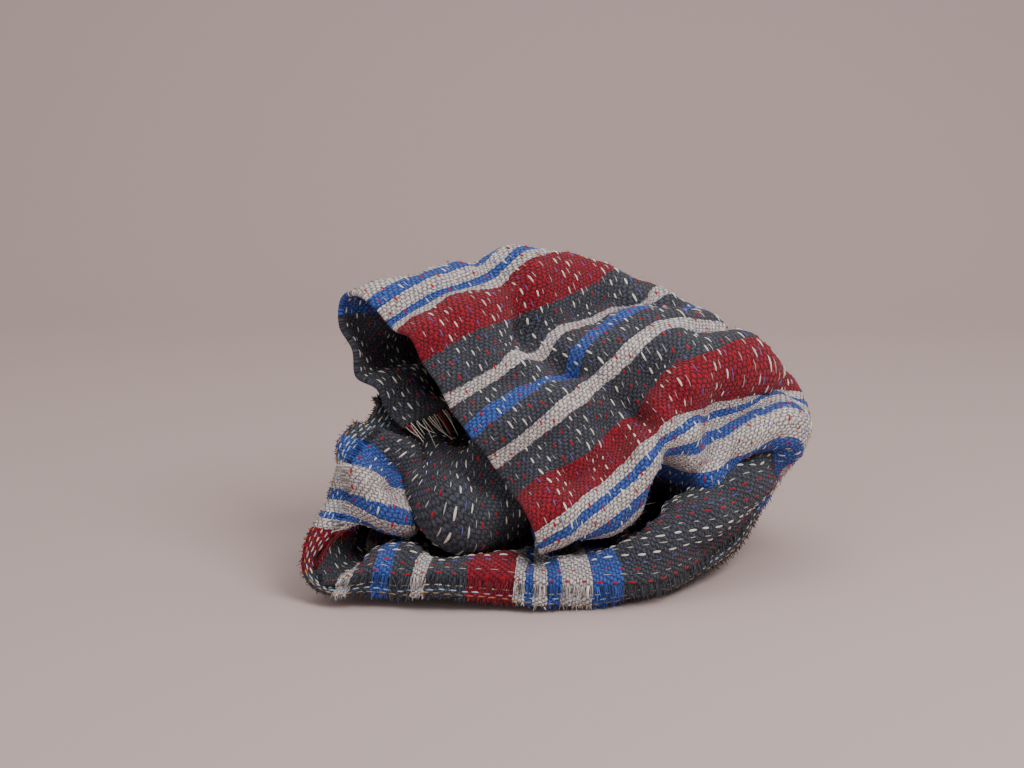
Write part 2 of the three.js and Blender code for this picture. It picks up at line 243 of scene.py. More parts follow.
class StripReader:
    """Finds the strip's grid of places on the solid throw."""

    def __init__(self, cloth: Cloth, first: np.ndarray, second: np.ndarray) -> None:
        """Keep the strip's sizes and the first two points of the solid's first ring."""
        self.cloth = cloth
        self.first = first
        self.second = second

    def ring_triangles(self) -> np.ndarray:
        """Triangles of the tube of rings, as ring places: two to a cell, split along the same threads."""
        cloth = self.cloth
        size = 2 * cloth.half
        k = np.arange(size)
        turn = cloth.columns + cloth.fold_steps - 1
        back = (k < cloth.columns - 1) | ((k >= turn + cloth.columns) & (k < turn + 2 * cloth.columns - 1))
        j = np.arange(cloth.rows - 1)[:, None] * size
        a, b = j + k, j + (k + 1) % size
        c, d = b + size, a + size
        corners = np.stack([a, b, c, d], axis=-1)
        corners = np.where(back[None, :, None], np.roll(corners, -1, axis=-1), corners).reshape(-1, 4)
        rung = np.arange(cloth.half - 1)
        last = (cloth.rows - 1) * size
        far = size - 1 - rung
        near_end = np.stack([rung, far, far - 1, rung + 1], axis=-1)
        far_end = np.stack([rung, rung + 1, far - 1, far], axis=-1) + last
        quads = np.concatenate([corners, near_end, far_end])
        return np.concatenate([quads[:, [0, 1, 2]], quads[:, [0, 2, 3]]])

    @staticmethod
    def edges(triangles: np.ndarray) -> dict[tuple[int, int], int]:
        """Third corner of the triangle on the left of each directed edge."""
        found: dict[tuple[int, int], int] = {}
        for a, b, c in triangles.tolist():
            found[(a, b)] = c
            found[(b, c)] = a
            found[(c, a)] = b
        return found

    def walk(self, points: np.ndarray, triangles: np.ndarray) -> np.ndarray:
        """Match the solid's points to ring places by stepping over both from one shared edge.

        Args:
            points: the solid's merged points.
            triangles: its triangles.

        Returns:
            The place of each ring point, with NaN where the step found none.
        """
        total = 2 * self.cloth.half * self.cloth.rows
        plan = self.edges(self.ring_triangles())
        start = int(np.argmin(np.linalg.norm(points - self.first, axis=1)))
        after = int(np.argmin(np.linalg.norm(points - self.second, axis=1)))
        best: dict[int, int] = {}
        for solid in (self.edges(triangles), self.edges(triangles[:, ::-1])):
            placed = {0: start, 1: after}
            seen: set[tuple[int, int]] = set()
            steps = [(0, 1, start, after), (1, 0, after, start)]
            while steps:
                plan_a, plan_b, solid_a, solid_b = steps.pop()
                plan_c, solid_c = plan.get((plan_a, plan_b)), solid.get((solid_a, solid_b))
                if plan_c is None or solid_c is None or (plan_a, plan_b) in seen:
                    continue
                seen.add((plan_a, plan_b))
                if placed.setdefault(plan_c, solid_c) != solid_c:
                    continue
                steps.append((plan_c, plan_b, solid_c, solid_b))
                steps.append((plan_a, plan_c, solid_a, solid_c))
            best = placed if len(placed) > len(best) else best
        LOG.info("strip: %d of %d ring points found", len(best), total)
        grid = np.full((total, 3), np.nan)
        grid[list(best.keys())] = points[list(best.values())]
        return grid.reshape(self.cloth.rows, -1, 3)

    def read(self, node: bpy.types.Object) -> np.ndarray:
        """Middle surface of the doubled strip, read from the under ply's outer and inner faces.

        Args:
            node: the solid throw.

        Returns:
            A rows by columns grid of places, fold first.
        """
        mesh = node.data
        mesh.calc_loop_triangles()
        places = np.empty(3 * len(mesh.vertices), dtype=np.float32)
        mesh.vertices.foreach_get("co", places)
        triangles = np.empty(3 * len(mesh.loop_triangles), dtype=np.int32)
        mesh.loop_triangles.foreach_get("vertices", triangles)
        rounded = np.round(places.reshape(-1, 3).astype(np.float64), 6)
        points, merged = np.unique(rounded, axis=0, return_inverse=True)
        rings = self.walk(points, merged.reshape(-1)[triangles].reshape(-1, 3))
        cloth = self.cloth
        under = cloth.columns + cloth.fold_steps - 1
        outer = rings[:, under:under + cloth.columns]
        inner = rings[:, ::-1][:, under:under + cloth.columns]
        grid = outer + (inner - outer) * ((cloth.ply + cloth.ply_gap / 2) / cloth.ply)
        return self.mend(grid)

    @staticmethod
    def mend(grid: np.ndarray) -> np.ndarray:
        """Fill places that weren't found with the middle of the neighbours that were."""
        for _ in range(grid.shape[0]):
            missing = np.isnan(grid[..., 0])
            if not missing.any():
                break
            wide = np.pad(grid, ((1, 1), (1, 1), (0, 0)), constant_values=np.nan)
            near = np.stack([wide[:-2, 1:-1], wide[2:, 1:-1], wide[1:-1, :-2], wide[1:-1, 2:]])
            count = np.maximum((~np.isnan(near[..., 0])).sum(axis=0), 1)[..., None]
            middle = np.nansum(near, axis=0) / count
            known = (~np.isnan(near[..., 0])).any(axis=0)
            grid = np.where((missing & known)[..., None], middle, grid)
        return grid


@dataclass(frozen=True)
class Unevenness:
    """Long crossing waves of the wool, in millimetres: heights, and the cloth that one radian takes."""

    slow_height: float = 0.9
    slow_across: float = 11.0
    slow_along: float = 23.0
    across_drift: float = 47.0
    along_drift: float = 31.0
    fine_height: float = 0.6
    fine_across: float = 5.3
    fine_along: float = 17.0
    fine_drift: float = 29.0

    def height(self, u: np.ndarray, v: np.ndarray) -> np.ndarray:
        """Slow waves across times slow waves along, plus slanted fine ones, each with a drifting phase."""
        across = np.sin(u / self.slow_across + 1.7 * np.sin(v / self.across_drift))
        along = np.sin(v / self.slow_along + 1.1 * np.sin(u / self.along_drift))
        slanted = u / self.fine_across + v / self.fine_along + 2.0 * np.sin(v / self.fine_drift)
        return self.slow_height * across * along + self.fine_height * np.sin(slanted)


class Surface:
    """The strip's middle surface at a fine step, with creases and normals."""

    def __init__(self, cloth: Cloth, grid: np.ndarray, across: int, along: int) -> None:
        """Draw the fine surface through the coarse grid.

        Args:
            cloth: the strip's sizes.
            grid: coarse rows by columns of places.
            across: fine places from fold to hem.
            along: fine places along the warp.
        """
        self.cloth = cloth
        self.u = np.linspace(0.0, cloth.width, across)
        self.v = np.linspace(0.0, cloth.length, along)
        weave_v = spline_weights(cloth.rows, along)
        weave_u = spline_weights(cloth.columns, across)
        self.place = np.einsum("ab,bcd,ec->aed", weave_v, grid, weave_u)
        self.normal = self.facing(self.place)
        self.place = self.place + self.normal * self.relief()[..., None]
        self.place[..., 2] = np.maximum(self.place[..., 2], cloth.ply + cloth.ply_gap / 2)
        self.normal = self.facing(self.place)

    @staticmethod
    def facing(place: np.ndarray) -> np.ndarray:
        """Unit normals towards the upper ply: the warp step crossed with the weft step, evened a little."""
        normal = np.cross(np.gradient(place, axis=0), np.gradient(place, axis=1))
        for _ in range(3):
            wide = np.pad(normal, ((1, 1), (1, 1), (0, 0)), mode="edge")
            around = wide[:-2, 1:-1] + wide[2:, 1:-1] + wide[1:-1, :-2] + wide[1:-1, 2:]
            normal = 0.5 * normal + 0.125 * around
        return normal / np.maximum(np.linalg.norm(normal, axis=-1, keepdims=True), TINY)

    def relief(self) -> np.ndarray:
        """Height of the creases and of the wool's slow unevenness at each fine place.

        A crease is a bell of its spread round its line on the flat cloth.
        """
        u, v = np.meshgrid(self.u / MM, self.v / MM)
        height = np.zeros_like(u)
        for crease in CREASES:
            line_u, line_v = crease.across_to - crease.across_from, crease.along_to - crease.along_from
            share = (u - crease.across_from) * line_u + (v - crease.along_from) * line_v
            share = np.clip(share / (line_u**2 + line_v**2), 0.0, 1.0)
            away_u = u - crease.across_from - share * line_u
            away_v = v - crease.along_from - share * line_v
            height += crease.height * np.exp(-(away_u**2 + away_v**2) / crease.spread**2)
        return (height + Unevenness().height(u, v)) * MM

    def read(self, values: np.ndarray, across: np.ndarray, rows: np.ndarray) -> np.ndarray:
        """Read fine values at places across the strip, one set of places for each row.

        Args:
            values: fine rows by places of vectors.
            across: distances from the fold, rows by places.
            rows: the fine row (may be fractional) of each row of places.

        Returns:
            The vectors at those places.
        """
        column = np.clip(across / self.cloth.width * (len(self.u) - 1), 0, len(self.u) - 1 - 1e-6)
        row = np.clip(rows, 0, len(self.v) - 1 - 1e-6)
        i, j = column.astype(int), row.astype(int)
        a, b = (column - i)[..., None], (row - j)[..., None]
        near = values[j, i] * (1 - a) + values[j, i + 1] * a
        far = values[j + 1, i] * (1 - a) + values[j + 1, i + 1] * a
        return near * (1 - b) + far * b

    def at(self, across: np.ndarray, along: np.ndarray, height: np.ndarray) -> np.ndarray:
        """Places at a height over the middle surface, from flat places on the cloth."""
        rows = along / self.cloth.length * (len(self.v) - 1)
        return self.read(self.place, across, rows) + self.read(self.normal, across, rows) * height[..., None]


@dataclass(frozen=True)
class WoolFinish:
    """Striped coarse wool: weft stripes by the cloth's own map, in mottled yarn cells that are bumped and
    given painted shade, darker towards their edges and in the gaps between them.
    """

    name: str = "striped_wool"
    cell_across: float = 0.0052
    cell_along: float = 0.0031
    row_step: float = 0.37
    round_across: float = 0.55
    round_along: float = 0.3
    wander: float = 0.0032
    wander_scale: float = 300.0
    stripe_wander: float = 0.004
    stripe_scale: float = 140.0
    mottle_scale: float = 620.0
    mottle_gain: float = 2.6
    mottle_base: float = -0.40
    patch_scale: float = 45.0
    patch_gain: float = 0.5
    patch_base: float = 0.75
    cell_shade_gain: float = 0.95
    gap_shade: float = 0.08
    mottle_relief: float = 0.9
    bump_height: float = 0.0018
    roughness: float = 0.95
    sheen: float = 0.12
    sheen_roughness: float = 0.6
    specular: float = 0.1

    def make(self) -> bpy.types.Material:
        """Build the node material and return it."""
        material = bpy.data.materials.new(self.name)
        material.use_nodes = True
        nodes, links = material.node_tree.nodes, material.node_tree.links
        shader = nodes["Principled BSDF"]
        shader.inputs["Roughness"].default_value = self.roughness
        shader.inputs["Sheen Weight"].default_value = self.sheen
        shader.inputs["Sheen Roughness"].default_value = self.sheen_roughness
        shader.inputs["Specular IOR Level"].default_value = self.specular
        cloth = nodes.new("ShaderNodeUVMap")
        cloth.uv_map = "cloth"
        wander = self.noise(nodes, links, cloth, self.stripe_scale, 2.0)
        spread = self.stripe_wander
        uneven = self.math(nodes, links, "MULTIPLY_ADD", wander.outputs["Fac"], spread, -spread / 2)
        split = nodes.new("ShaderNodeSeparateXYZ")
        links.new(cloth.outputs["UV"], split.inputs[0])
        along = self.math(nodes, links, "ADD", split.outputs["Y"], uneven)
        shifted = self.math(nodes, links, "SUBTRACT", along, REPEAT_SHIFT)
        folded = self.math(nodes, links, "PINGPONG", shifted, HALF_REPEAT)
        share = self.math(nodes, links, "DIVIDE", folded, HALF_REPEAT)
        ramp = nodes.new("ShaderNodeValToRGB")
        ramp.color_ramp.interpolation = "CONSTANT"
        marks = ramp.color_ramp.elements
        marks.remove(marks[1])
        for number, stripe in enumerate(STRIPES):
            mark = marks[0] if number == 0 else marks.new(stripe.start / HALF_REPEAT)
            mark.position = stripe.start / HALF_REPEAT
            mark.color = (*stripe.yarn.value, 1.0)
        links.new(share, ramp.inputs["Fac"])
        bent = nodes.new("ShaderNodeVectorMath")
        bent.operation = "MULTIPLY_ADD"
        bent.inputs[1].default_value = (self.wander, self.wander, 0.0)
        links.new(self.noise(nodes, links, cloth, self.wander_scale, 3.0).outputs["Color"], bent.inputs[0])
        links.new(cloth.outputs["UV"], bent.inputs[2])
        yarn = self.cells(nodes, links, bent.outputs[0])
        mottle = self.noise(nodes, links, cloth, self.mottle_scale, 5.0)
        patch = self.noise(nodes, links, cloth, self.patch_scale, 3.0)
        grain = mottle.outputs["Fac"]
        tone = self.math(nodes, links, "MULTIPLY_ADD", grain, self.mottle_gain, self.mottle_base)
        slow = self.math(nodes, links, "MULTIPLY_ADD", patch.outputs["Fac"], self.patch_gain, self.patch_base)
        tone = self.math(nodes, links, "MULTIPLY", tone, slow)
        # painted shade: the stripe colour is darkened towards each yarn cell's edges and in the gaps between
        # cells, following the cell height
        depth = self.math(nodes, links, "MULTIPLY_ADD", yarn, self.cell_shade_gain, self.gap_shade)
        shaded_stripes = self.mix(nodes, links, ramp.outputs["Color"], depth)
        links.new(self.mix(nodes, links, shaded_stripes, tone), shader.inputs["Base Color"])
        relief = self.math(nodes, links, "MULTIPLY_ADD", grain, self.mottle_relief, yarn)
        bump = nodes.new("ShaderNodeBump")
        bump.inputs["Strength"].default_value = 1.0
        bump.inputs["Distance"].default_value = self.bump_height
        links.new(relief, bump.inputs["Height"])
        links.new(bump.outputs["Normal"], shader.inputs["Normal"])
        return material

    def cells(
        self, nodes: bpy.types.Nodes, links: bpy.types.NodeLinks, place: bpy.types.NodeSocket
    ) -> bpy.types.NodeSocket:
        """Rounded yarn cells in rows that step aside by turns: the root of a sine across times one along. This
        height drives the bump and the painted shade of the cells.
        """
        split = nodes.new("ShaderNodeSeparateXYZ")
        links.new(place, split.inputs[0])
        along = self.math(nodes, links, "DIVIDE", split.outputs["Y"], self.cell_along)
        row = self.math(nodes, links, "FLOOR", along)
        step = self.math(nodes, links, "MULTIPLY", row, self.row_step)
        across = self.math(nodes, links, "DIVIDE", split.outputs["X"], self.cell_across)
        across = self.math(nodes, links, "ADD", across, step)
        bows = []
        for place_in_cell, sharp in ((across, self.round_across), (along, self.round_along)):
            share = self.math(nodes, links, "FRACT", place_in_cell)
            bow = self.math(nodes, links, "SINE", self.math(nodes, links, "MULTIPLY", share, math.pi))
            bows.append(self.math(nodes, links, "POWER", bow, sharp))
        return self.math(nodes, links, "MULTIPLY", *bows)

    @staticmethod
    def noise(
        nodes: bpy.types.Nodes, links: bpy.types.NodeLinks, cloth: bpy.types.Node, scale: float, detail: float
    ) -> bpy.types.Node:
        """Noise on the cloth's map."""
        node = nodes.new("ShaderNodeTexNoise")
        node.inputs["Scale"].default_value = scale
        node.inputs["Detail"].default_value = detail
        links.new(cloth.outputs["UV"], node.inputs["Vector"])
        return node

    @staticmethod
    def math(
        nodes: bpy.types.Nodes,
        links: bpy.types.NodeLinks,
        operation: str,
        *terms: bpy.types.NodeSocket | float,
    ) -> bpy.types.NodeSocket:
        """One sum on sockets or numbers."""
        node = nodes.new("ShaderNodeMath")
        node.operation = operation
        for slot, term in zip(node.inputs, terms):
            if isinstance(term, (int, float)):
                slot.default_value = term
            else:
                links.new(term, slot)
        return node.outputs[0]

    @staticmethod
    def mix(
        nodes: bpy.types.Nodes,
        links: bpy.types.NodeLinks,
        base: bpy.types.NodeSocket,
        tint: bpy.types.NodeSocket,
    ) -> bpy.types.NodeSocket:
        """Product of two colours, or of a colour and a value."""
        node = nodes.new("ShaderNodeMix")
        node.data_type = "RGBA"
        node.blend_type = "MULTIPLY"
        node.inputs["Factor"].default_value = 1.0
        links.new(base, node.inputs["A"])
        links.new(tint, node.inputs["B"])
        return node.outputs["Result"]


@dataclass(frozen=True)
class ThreadFinish:
    """Dyed warp thread whose colour is kept on the piece itself."""

    name: str = "warp_thread"
    layer: str = "thread"
    roughness: float = 0.85
    sheen: float = 0.3
    specular: float = 0.2
    twist_scale: float = 1500.0
    twist_gain: float = 0.8
    twist_base: float = 0.6
    bump_strength: float = 0.4
    bump_height: float = 0.0004

    def make(self) -> bpy.types.Material:
        """Build the node material and return it."""
        material = bpy.data.materials.new(self.name)
        material.use_nodes = True
        nodes, links = material.node_tree.nodes, material.node_tree.links
        shader = nodes["Principled BSDF"]
        shader.inputs["Roughness"].default_value = self.roughness
        shader.inputs["Sheen Weight"].default_value = self.sheen
        shader.inputs["Specular IOR Level"].default_value = self.specular
        dye = nodes.new("ShaderNodeVertexColor")
        dye.layer_name = self.layer
        cloth = nodes.new("ShaderNodeUVMap")
        cloth.uv_map = "cloth"
        twist = WoolFinish.noise(nodes, links, cloth, self.twist_scale, 2.0)
        grain = twist.outputs["Fac"]
        tone = WoolFinish.math(nodes, links, "MULTIPLY_ADD", grain, self.twist_gain, self.twist_base)
        links.new(WoolFinish.mix(nodes, links, dye.outputs["Color"], tone), shader.inputs["Base Color"])
        bump = nodes.new("ShaderNodeBump")
        bump.inputs["Strength"].default_value = self.bump_strength
        bump.inputs["Distance"].default_value = self.bump_height
        links.new(twist.outputs["Fac"], bump.inputs["Height"])
        links.new(bump.outputs["Normal"], shader.inputs["Normal"])
        return material


@dataclass
class ThrowSheet:
    """The doubled cloth: two plies joined at the fold, closed all round."""

    surface: Surface
    across: int = 62
    along: int = 330
    turn_steps: int = 4

    def build(self, material: bpy.types.Material) -> bpy.types.Object:
        """Make the sheet as a tube of hairpin rings.

        Each ring runs along the upper ply from hem to fold, round the fold on a half circle, along the
        under ply to its hem, and back along the inner faces.

        Args:
            material: the wool.

        Returns:
            The sheet.
        """
        cloth = self.surface.cloth
        share = np.linspace(0.0, 1.0, self.across + 1)
        along = np.linspace(0.0, cloth.length, self.along + 1)
        upper = cloth.upper_hem(along)[:, None] * share
        under = np.broadcast_to(cloth.width * share, upper.shape)
        v = np.broadcast_to(along[:, None], upper.shape)
        angle = np.pi * np.arange(1, self.turn_steps) / self.turn_steps
        fold = self.surface.at(np.zeros((len(along), 1)), v[:, :1], np.zeros((len(along), 1)))
        rise = self.surface.at(np.zeros((len(along), 1)), v[:, :1], np.ones((len(along), 1))) - fold
        inward = self.surface.at(np.full((len(along), 1), 0.006), v[:, :1], np.zeros((len(along), 1))) - fold
        inward /= np.linalg.norm(inward, axis=-1, keepdims=True)

        def face(height: float) -> np.ndarray:
            """One face of both plies at a height from the middle surface."""
            turn = fold + rise * (height * np.cos(angle))[:, None]
            turn = turn - inward * (height * np.sin(angle))[:, None]
            level = np.full(upper.shape, height)
            return np.concatenate([
                self.surface.at(upper, v, level)[:, ::-1], turn, self.surface.at(under, v, -level)], axis=1)

        middle = (cloth.ply + cloth.ply_gap) / 2
        rings = np.concatenate(
            [face(middle + cloth.ply / 2), face(middle - cloth.ply / 2)[:, ::-1]], axis=1)
        rings[..., 2] = np.maximum(rings[..., 2], 0.0)
        flat = np.concatenate([upper[:, ::-1], np.zeros((len(along), len(angle))), -under], axis=1)
        flat = np.concatenate([flat, flat[:, ::-1]], axis=1)
        cloth_uv = np.stack([flat, np.broadcast_to(along[:, None], flat.shape)], axis=-1)
        faces = self.tube_faces(rings.shape[0], rings.shape[1])
        return new_mesh("throw_sheet", rings.reshape(-1, 3), faces, cloth_uv.reshape(-1, 2), material)

    @staticmethod
    def tube_faces(rows: int, size: int) -> np.ndarray:
        """Quads between neighbouring rings, and a ladder of quads over each end."""
        k = np.arange(size)
        j = np.arange(rows - 1)[:, None] * size
        a, b = j + k, j + (k + 1) % size
        walls = np.stack([a, b, b + size, a + size], axis=-1).reshape(-1, 4)
        rung = np.arange(size // 2 - 1)
        far = size - 1 - rung
        near_end = np.stack([rung, far, far - 1, rung + 1], axis=-1)
        far_end = np.stack([rung, rung + 1, far - 1, far], axis=-1) + (rows - 1) * size
        return np.concatenate([walls, near_end, far_end])


UNDER_EDGE = (
    Yarn.WHITE_FLOAT,
    Yarn.SKY_FLOAT,
    Yarn.CREAM_FLOAT,
    Yarn.SKY_FLOAT,
    Yarn.TAN_FLOAT,
    Yarn.TAN_FLOAT,
)


@dataclass
class WarpFloats:
    """Running stitches of the warp that lie on the cloth's outer faces."""

    surface: Surface
    name: str = "warp_floats"
    order: tuple[Yarn, ...] = (Yarn.RED_FLOAT, Yarn.RED_FLOAT, Yarn.WHITE_FLOAT, Yarn.WHITE_FLOAT)
    first_line: float = 0.5
    line_pitch: float = 0.0125
    stitch_pitch: float = 0.015
    stitch_length: float = 0.0070
    half_width: float = 0.00085
    rise: float = 0.0014
    dip: float = 0.0002
    red_share: float = 0.7
    hem_clear: float = 0.003
    first_row: float = 0.006
    end_clear: float = 0.012
    line_jitter: float = 0.0004
    row_jitter: float = 0.0006
    steps: int = 5
    seed: int = 11
    sides: tuple[int, ...] = (1, -1)
    base: float = CLOTH.ply + CLOTH.ply_gap / 2

    def shows(self, across: np.ndarray, along: np.ndarray, side: int) -> np.ndarray:
        """Whether each stitch lies on its ply."""
        cloth = self.surface.cloth
        limit = cloth.upper_hem(along) if side > 0 else np.full(along.shape, cloth.width)
        return (across < limit - self.hem_clear) & (along + self.stitch_length < cloth.length)

    def lines(self, side: int) -> tuple[np.ndarray, np.ndarray]:
        """Distance from the fold and yarn colour of each line of stitches on one ply."""
        count = int(self.surface.cloth.width / self.line_pitch)
        across = (np.arange(count) + self.first_line) * self.line_pitch
        start = 0 if side > 0 else 2
        yarns = [self.order[(number + start) % len(self.order)].value for number in range(count)]
        if side < 0 and Yarn.RED_FLOAT in self.order:
            yarns[-len(UNDER_EDGE):] = [yarn.value for yarn in UNDER_EDGE]
        return across, np.array(yarns)

    def build(self, material: bpy.types.Material, layer: str) -> bpy.types.Object:
        """Make the stitches of both plies as one mesh.

        A stitch is an arched ridge: its section is a low triangle, and its height follows half a sine
        wave along the warp, so both ends dip into the cloth.

        Args:
            material: the thread finish.
            layer: name of the colour layer on the mesh.

        Returns:
            The stitches.
        """
        cloth = self.surface.cloth
        rng = np.random.default_rng(self.seed)
        points, uvs, dyes = [], [], []
        for side in self.sides:
            across, yarns = self.lines(side)
            rows = np.arange(self.first_row, cloth.length - self.end_clear, self.stitch_pitch)
            line, row = np.meshgrid(np.arange(len(across)), np.arange(len(rows)))
            u0 = across[line].ravel() + rng.normal(0.0, self.line_jitter, line.size)
            v0 = rows[row].ravel() + 0.5 * self.stitch_pitch * (line.ravel() % 2)
            v0 = v0 + rng.normal(0.0, self.row_jitter, line.size)
            keep = self.shows(u0, v0, side)
            u0, v0 = u0[keep], v0[keep]
            dye = yarns[line.ravel()[keep]] * rng.uniform(0.8, 1.1, keep.sum())[:, None]
            t = np.linspace(0.0, 1.0, self.steps)
            short = np.where(dye[:, 0] > 4.0 * dye[:, 1], self.red_share, 1.0)
            length = self.stitch_length * short * rng.uniform(0.85, 1.2, len(u0))
            taper = 0.45 + 0.55 * np.sin(np.pi * t)
            edge = np.array([-1.0, 0.0, 1.0])
            u = u0[:, None, None] + self.half_width * edge * taper[:, None]
            v = v0[:, None, None] + length[:, None, None] * t[:, None] + 0.0 * edge
            lift = self.rise * np.sin(np.pi * t)[:, None] * (1.0 - 0.75 * edge**2) - self.dip
            height = side * (self.base + lift) + np.zeros_like(u)
            points.append(self.surface.at(u, v, height)[:, :, ::side].reshape(-1, 3))
            uvs.append(np.stack([side * u, v], axis=-1)[:, :, ::side].reshape(-1, 2))
            dyes.append(np.repeat(dye, self.steps * 3, axis=0))
        places = np.concatenate(points)
        count = len(places) // (3 * self.steps)
        i, j = np.meshgrid(np.arange(2), np.arange(self.steps - 1))
        cell = (j * 3 + i).ravel()
        quad = np.stack([cell, cell + 3, cell + 4, cell + 1], axis=-1)
        faces = (quad[None] + (np.arange(count) * 3 * self.steps)[:, None, None]).reshape(-1, 4)
        places[:, 2] = np.maximum(places[:, 2], STITCH_FLOOR_CLEAR)
        piece = new_mesh(self.name, places, faces, np.concatenate(uvs), material)
        dye_mesh(piece, layer, np.concatenate(dyes))
        return piece


@dataclass
class LapFloats(WarpFloats):
    """Stitches on the edge of the under ply that shows past the upper ply's hem."""

    name: str = "edge_floats"
    sides: tuple[int, ...] = (1,)
    base: float = -CLOTH.ply_gap / 2
    hem_clear: float = 0.002
    stitch_pitch: float = 0.0105
    half_width: float = 0.0007
    edge: tuple[tuple[float, Yarn], ...] = (
        (0.0030, Yarn.TAN_FLOAT),
        (0.0075, Yarn.SKY_FLOAT),
        (0.0120, Yarn.CREAM_FLOAT),
        (0.0165, Yarn.SKY_FLOAT),
        (0.0210, Yarn.WHITE_FLOAT),
    )

    def lines(self, side: int) -> tuple[np.ndarray, np.ndarray]:
        """Distance from the fold and yarn colour of each line, counted in from the under ply's edge."""
        across = np.array([self.surface.cloth.width - inset for inset, _ in self.edge])
        return across, np.array([yarn.value for _, yarn in self.edge])

    def shows(self, across: np.ndarray, along: np.ndarray, side: int) -> np.ndarray:
        """Whether each stitch lies clear of the upper ply's hem."""
        cloth = self.surface.cloth
        return (across > cloth.upper_hem(along) + self.hem_clear) & (along + self.stitch_length < cloth.length)


@dataclass
class Strands:
    """Loose yarn ends: tapered strands, each a three-sided tube on a bent path."""

    sides: int = 3
    steps: int = 5

    def tubes(self, root: np.ndarray, reach: np.ndarray, sway: np.ndarray, radius: np.ndarray) -> np.ndarray:
        """Points of the strands.

        The path is root + t * reach + t squared * sway, with t from 0 to 1. The radius falls to a third
        at the tip.

        Args:
            root: where each strand starts.
            reach: its first direction times its length.
            sway: how far its tip bends aside.
            radius: its radius at the root.

        Returns:
            Strand by step by side places.
        """
        t = np.linspace(0.0, 1.0, self.steps)[None, :, None]
        path = root[:, None] + t * reach[:, None] + t**2 * sway[:, None]
        aim = reach / np.maximum(np.linalg.norm(reach, axis=-1, keepdims=True), TINY)
        upright = np.abs(aim[:, 2:3]) >= 0.8
        other = np.where(upright, np.array([[1.0, 0.0, 0.0]]), np.array([[0.0, 0.0, 1.0]]))
        side = np.cross(aim, other)
        side /= np.maximum(np.linalg.norm(side, axis=-1, keepdims=True), TINY)
        lift = np.cross(side, aim)
        angle = 2 * np.pi * np.arange(self.sides) / self.sides
        ring = side[:, None] * np.cos(angle)[:, None] + lift[:, None] * np.sin(angle)[:, None]
        thin = radius[:, None, None, None] * (1.0 - 0.67 * t[..., None])
        return path[:, :, None] + ring[:, None] * thin

    def faces(self, count: int) -> np.ndarray:
        """Quads round each strand."""
        j, k = np.meshgrid(np.arange(self.steps - 1), np.arange(self.sides), indexing="ij")
        a = (j * self.sides + k).ravel()
        b = (j * self.sides + (k + 1) % self.sides).ravel()
        quad = np.stack([a, b, b + self.sides, a + self.sides], axis=-1)
        return (quad[None] + (np.arange(count) * self.steps * self.sides)[:, None, None]).reshape(-1, 4)


@dataclass
class HemTufts(Strands):
    """Cut weft ends along both plies' hems."""

    surface: Surface | None = None
    pitch: float = 0.0032
    length: float = 0.0115
    edge_length: float = 0.0030
    radius: float = 0.0008
    ends_per_place: int = 6
    place_jitter: float = 0.0011
    level_jitter: float = 0.0005
    splay: float = 0.0010
    sway: float = 0.0012
    droop: float = 0.0010
    sunk: float = 0.002
    aim_back: float = 0.012
    seed: int = 5

    def build(self, material: bpy.types.Material) -> bpy.types.Object:
        """Make the tufts of both hems, coloured by their own stripe through the cloth's map."""
        cloth = self.surface.cloth
        rng = np.random.default_rng(self.seed)
        places, uvs = [], []
        for side in (1, -1):
            v = np.repeat(np.arange(0.003, cloth.length - 0.003, self.pitch), self.ends_per_place)
            v = v + rng.normal(0.0, self.place_jitter, len(v))
            hem = cloth.upper_hem(v) if side > 0 else np.full(v.shape, cloth.width)
            middle = side * (cloth.ply + cloth.ply_gap) / 2 + rng.normal(0.0, self.level_jitter, len(v))
            root = self.surface.at(hem - self.sunk, v, middle)
            back = self.surface.at(hem - self.aim_back, v, middle)
            out = root - back
            out /= np.maximum(np.linalg.norm(out, axis=-1, keepdims=True), TINY)
            length = (self.length if side > 0 else self.edge_length) * rng.uniform(0.55, 1.15, len(v))
            reach = out * length[:, None] + rng.normal(0.0, self.splay, out.shape)
            sway = rng.normal(0.0, self.sway, out.shape) - np.array([0.0, 0.0, self.droop])
            tube = self.tubes(root, reach, sway, self.radius * rng.uniform(0.7, 1.2, len(v)))
            places.append(tube.reshape(-1, 3))
            flat = np.stack([side * hem, v], axis=-1)
            uvs.append(np.repeat(flat, self.steps * self.sides, axis=0))
        points = np.concatenate(places)
        points[:, 2] = np.maximum(points[:, 2], FLOOR_CLEAR)
        count = len(points) // (self.steps * self.sides)
        return new_mesh("hem_tufts", points, self.faces(count), np.concatenate(uvs), material)


